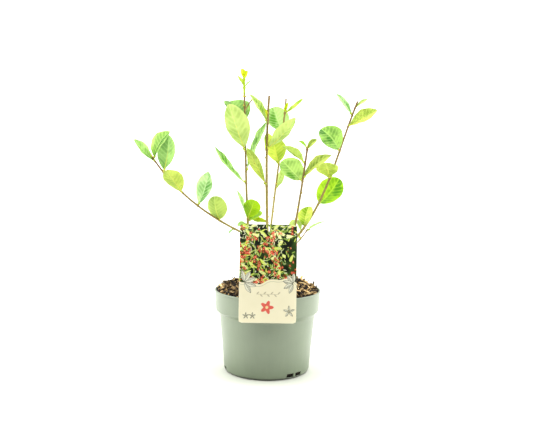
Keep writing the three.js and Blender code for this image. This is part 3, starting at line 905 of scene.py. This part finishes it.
def leaf_skins(root, row, seed, grid, material):
    """The upper and lower face of one leaf. The spine leaves the root in the leaf's direction and
    is bowed by a parabola. The blade's half width is the sine of its share to a power, with teeth
    at the edge. The sides are raised by the fold, and cosine waves between the side veins, falling
    to the edge, puff it up."""
    length, width = row[3:5]
    ahead, up, side = leaf_directions(row)
    bow, fold = bow_and_fold(row)
    rng = np.random.default_rng(seed)
    rows, halves = grid
    blade = np.linspace(0, 1, rows)[:, None]
    across = np.linspace(-1, 1, 2 * halves + 1)[None, :]
    share = leaf_stalk + (1 - leaf_stalk) * blade
    blunt = np.clip(1.05 - 0.75 * width / length, 0.5, 0.85)
    bulge = width / 2 * np.sin(np.pi * blade ** 1.12) ** blunt
    teeth = (blade * tooth_count) % 1.0
    edge = 1 + (tooth_deep * (1 - teeth) - 0.02) * np.clip(length / 40, 0, 1) * (np.abs(across) > 0.97)
    half = (leaf_stalk_radius * (1 - blade) + 0.1) * 0.6 + bulge * edge
    rise = bow * length * 4 * share * (1 - share)
    spine = root + ahead * length * share[..., None] + up * rise[..., None]
    phase = (blade - vein_lean * np.abs(across) ** 1.2) * vein_pairs
    puff = -np.cos(2 * np.pi * (phase - 0.5)) * (1 - across ** 4) * np.sin(np.pi * blade) * puff_deep * length
    sway = sway_deep * length * np.sin(2 * np.pi * (1.6 * blade + rng.uniform())) * across * np.abs(across)
    ripple = ripple_deep * length * np.sin(2 * np.pi * (3.7 * blade + 0.5 * across + rng.uniform()))
    ripple = ripple * across ** 4
    groove = -groove_deep * length * np.exp(-(across / 0.07) ** 2) * np.sin(np.pi * blade) ** 0.5
    soft = np.sqrt(across ** 2 + 0.012) - np.sqrt(0.012)
    waves = (puff * 0.5 + sway + ripple) * np.sin(np.pi * blade) ** 0.3
    lift = bulge * np.tan(np.radians(fold)) * soft + waves + groove
    thick = blade_thick + rib_thick * length * (1 - np.abs(across))
    thick = np.where((blade == 0) | (blade == 1) | (np.abs(across) == 1), 0, thick)
    middle = spine + side * (half * across)[..., None] + up * lift[..., None]
    upper, under = middle + up * thick[..., None], middle - up * thick[..., None]
    # Which half of the blade is painted lighter, as if lit, and which darker, as if shaded
    lit = rng.choice([-1, 1])
    return [shell(upper, False, material, along=blade, across=across, half=lit),
            shell(under[:, ::-1], False, material + 1, along=blade, across=across[:, ::-1], half=lit)]


def stalk_skin(root, row, material):
    """A round stalk that runs from the wood into the underside of the blade as its midrib, and
    thins out to nothing before the tip."""
    length = row[3]
    ahead, up, side = leaf_directions(row)
    bow, _ = bow_and_fold(row)
    share = np.linspace(0, 0.92, 30)[:, None]
    thin = np.clip(length / 45, 0.35, 1)
    radius = thin * (0.85 * np.exp(-share / 0.05) + 0.5 * (1 - share) + 0.05)
    radius[-1] = 0
    blade = np.clip((share - leaf_stalk) / (1 - leaf_stalk), 0, 1)
    groove = groove_deep * length * np.sin(np.pi * blade) ** 0.5
    rise = bow * length * 4 * share * (1 - share) - groove - 0.5 * radius
    spine = root + ahead * length * share + up * rise
    rings = rings_round(spine, radius, side, up, stalk_sides)
    return shell(rings, True, material, along=share, across=0.0)


def bud_skin(root, ahead, length, radius):
    """A pointed bud: its radius is a sine of the share along it, drawn out to the tip, with
    low waves round it for its scales."""
    share = np.linspace(0, 1, 12)[:, None]
    swell = radius * np.sin(np.pi * share ** 0.65) ** 0.8 * (1 - 0.15 * share)
    first = unit(np.cross(ahead, [0.3, 0.2, 1.0]))
    second = np.cross(ahead, first)
    scale = 1 + 0.08 * np.cos(3 * full_turn(stalk_sides) + 14 * share)
    return shell(rings_round(root + ahead * length * share, swell * scale, first, second, stalk_sides))


bud_scale, place, join = finish("bud_scale", {"Specular IOR Level": 0.35})
cloud = place.noise(700)
join(Base_Color=cloud.blend(0.35, 0.65).mix(paint(186, 200, 40), paint(186, 142, 60)),
     Roughness=cloud * 0.2 + 0.4,
     Normal=cloud.bump(0.0002, 0.5))

large_leaf, bract_leaf = 25, 30
bract_turns, bract_long, bract_wide, bract_bow = (-62, 54), 8, 2.8, 0.1
sleeping_step, sleeping_clear, sleeping_turn = 24, 6, 2.4
# Length and radius of each kind of bud
leaf_bud, sleeping_bud, shoot_bud = (4.2, 1.0), (3.6, 1.1), (4.2, 1.3)
stub_bud, tip_bud = (4.5, 1.5), (6.0, 1.3)
shoot_bud_turns = 0.3, 2.2, 4.0


def at_share(stem, share):
    """The point and the direction at one share of the stem's length."""
    (point,), (ahead,), _ = along_curve(stem, [share])
    return point, ahead


def outward(angle):
    """The level unit direction at an angle round z, in radians."""
    return np.array([np.cos(angle), np.sin(angle), 0])


for number, (name, stem) in enumerate(stems.items()):
    mass = name + "_leaves"
    tint_names = sorted({row[6] for row in stem["leaves"]} | {"lime"})
    finishes = [face for tint in tint_names for face in leaf_finishes[tint]] + [leaf_finishes["stalk"][1]]
    blades, buds = [], []
    length = along_curve(stem, [0])[2]
    thick, thin = stem["radius"]
    for i, row in enumerate(stem["leaves"]):
        at, heading, rise, reach = row[:4]
        root, ahead = at_share(stem, at)
        seed = 100 * number + i
        grid = large_grid if reach > large_leaf else small_grid
        blades += leaf_skins(root, row, seed, grid, 2 * tint_names.index(row[6]))
        blades.append(stalk_skin(root, row, len(finishes) - 1))
        out = upward(heading, rise)
        foot = root + out * (thick + (thin - thick) * at) * 0.5
        buds.append(bud_skin(foot, unit(out + 1.6 * ahead), *leaf_bud))
        for turn in (bract_turns if reach > bract_leaf else []):
            bract = (at, heading + turn, rise * 0.6 + 8, bract_long, bract_wide, turn, "lime", bract_bow)
            blades += leaf_skins(root, bract, seed + 50, bract_grid, 2 * tint_names.index("lime"))
    # Sleeping buds go round the wood wherever no leaf is near
    for i, at in enumerate(np.arange(stem["leafy"] + 0.04, 0.97, sleeping_step / length)):
        if min(abs(at - row[0]) for row in stem["leaves"]) * length > sleeping_clear:
            root, ahead = at_share(stem, at)
            out = outward(sleeping_turn * i + number)
            buds.append(bud_skin(root + out * thin * 0.7, unit(ahead + 0.6 * out), *sleeping_bud))
    wood = [rod(stem, stem["leafy"], 1, stem["bare_tip"], number)]
    if "fresh" in stem:
        root, ahead = at_share(stem, stem["fresh"])
        for out in map(outward, shoot_bud_turns):
            buds.append(bud_skin(root + out * thin * 0.5, unit(0.5 * ahead + out), *shoot_bud))
    if "stub" in stem:
        at, heading, rise, reach = stem["stub"]
        root, _ = at_share(stem, at)
        out = upward(heading, rise)
        stub = {"curve": [root + out * reach * share for share in (0, 0.33, 0.67, 1)],
                "radius": (1.2, 0.9), "flare": 0.3, "leaves": []}
        wood.append(rod(stub, 0, 1, False, 40))
        buds.append(bud_skin(root + out * reach * 0.92, out, *stub_bud))
    if not stem["bare_tip"]:
        buds.append(bud_skin(*at_share(stem, 1), *tip_bud))
    build_piece(name + "_upper_bark", wood, [bark], mass, 50)
    build_piece(name + "_blades", blades, finishes, mass, 60)
    build_piece(name + "_buds", buds, [bud_scale], mass, 60)

# The stage: a white sheet with a painted shadow, a touch darker round the pot's foot, in a bright
# even tent of light with a lamp overhead and one at each side. A dark panel close before the pot, off
# the ground and hidden from the camera, takes the glare off the pot's front.

white_sheet, place, join = finish("white_sheet", {"Roughness": 0.8, "Specular IOR Level": 0.1})
out = place.vector("LENGTH", output=1)
clean = place.noise(3).mix(paint(246, 247, 242), paint(250, 250, 247))
# Painted contact shadow on the sheet round the pot's foot
foot_shade = paint(206, 209, 198)
join(Base_Color=out.blend(0.085, 0.16).mix(foot_shade, clean))
dark_panel, place, join = finish("dark_panel", {"Roughness": 0.9, "Specular IOR Level": 0.1})
join(Base_Color=place.noise(3).mix(paint(20, 21, 20), paint(28, 29, 28)))


def stage_sheet(name, half, near, far, material):
    """A flat sheet, to half its width each way, from y and z of one edge to those of the other."""
    mesh = bpy.data.meshes.new(name)
    mesh.from_pydata([(-half, *near), (half, *near), (half, *far), (-half, *far)], [], [(0, 1, 2, 3)])
    mesh.materials.append(material)
    sheet = bpy.data.objects.new(name, mesh)
    bpy.context.scene.collection.objects.link(sheet)
    return sheet


stage_sheet("ground_sheet", 6, (-6, 0), (6, 0), white_sheet)
panel = stage_sheet("dark_panel", 0.135, (-0.24, 0.05), (-0.26, 0.3), dark_panel)
panel.visible_camera = False

world = bpy.data.worlds.new("light_tent")
world.use_nodes = True
tent = world.node_tree.nodes["Background"].inputs
tent["Color"].default_value = (1, 1, 0.985, 1)
tent["Strength"].default_value = 2.0
bpy.context.scene.world = world

# Each lamp's place, its lean about X and its turn about Z
for name, place, lean, turn in (("overhead", (0, 0.25, 1.5), 0, 0),
                                ("left_wall", (-1.0, 0.2, 0.6), 1.5, -1.4),
                                ("right_wall", (1.0, 0.2, 0.6), 1.5, 1.4)):
    light = bpy.data.lights.new(name, "AREA")
    light.shape = "RECTANGLE"
    light.size, light.size_y, light.energy = 1.3, 1.0, 10
    lamp = bpy.data.objects.new(name, light)
    turned_lamp = Matrix.Rotation(turn, 4, "Z") @ Matrix.Rotation(lean, 4, "X")
    lamp.matrix_world = Matrix.Translation(place) @ turned_lamp
    lamp.visible_camera = False
    bpy.context.scene.collection.objects.link(lamp)

# The camera's place in metres, how far it looks down and tilts, and its focal length in pixels
camera_place, look_down, tilt = (-0.0035, -1.3, 0.39), 0.107, 0.015
focal_pixels, image_width = 806, 533
camera = bpy.data.objects.new("camera", bpy.data.cameras.new("camera"))
camera.data.sensor_width = 36
camera.data.lens = camera.data.sensor_width * focal_pixels / image_width
camera.data.clip_start = 0.05
aimed = Matrix.Rotation(np.pi / 2 - look_down, 4, "X") @ Matrix.Rotation(tilt, 4, "Z")
camera.matrix_world = Matrix.Translation(camera_place) @ aimed
bpy.context.scene.collection.objects.link(camera)
bpy.context.scene.camera = camera
bpy.context.scene.view_settings.view_transform = "Standard"
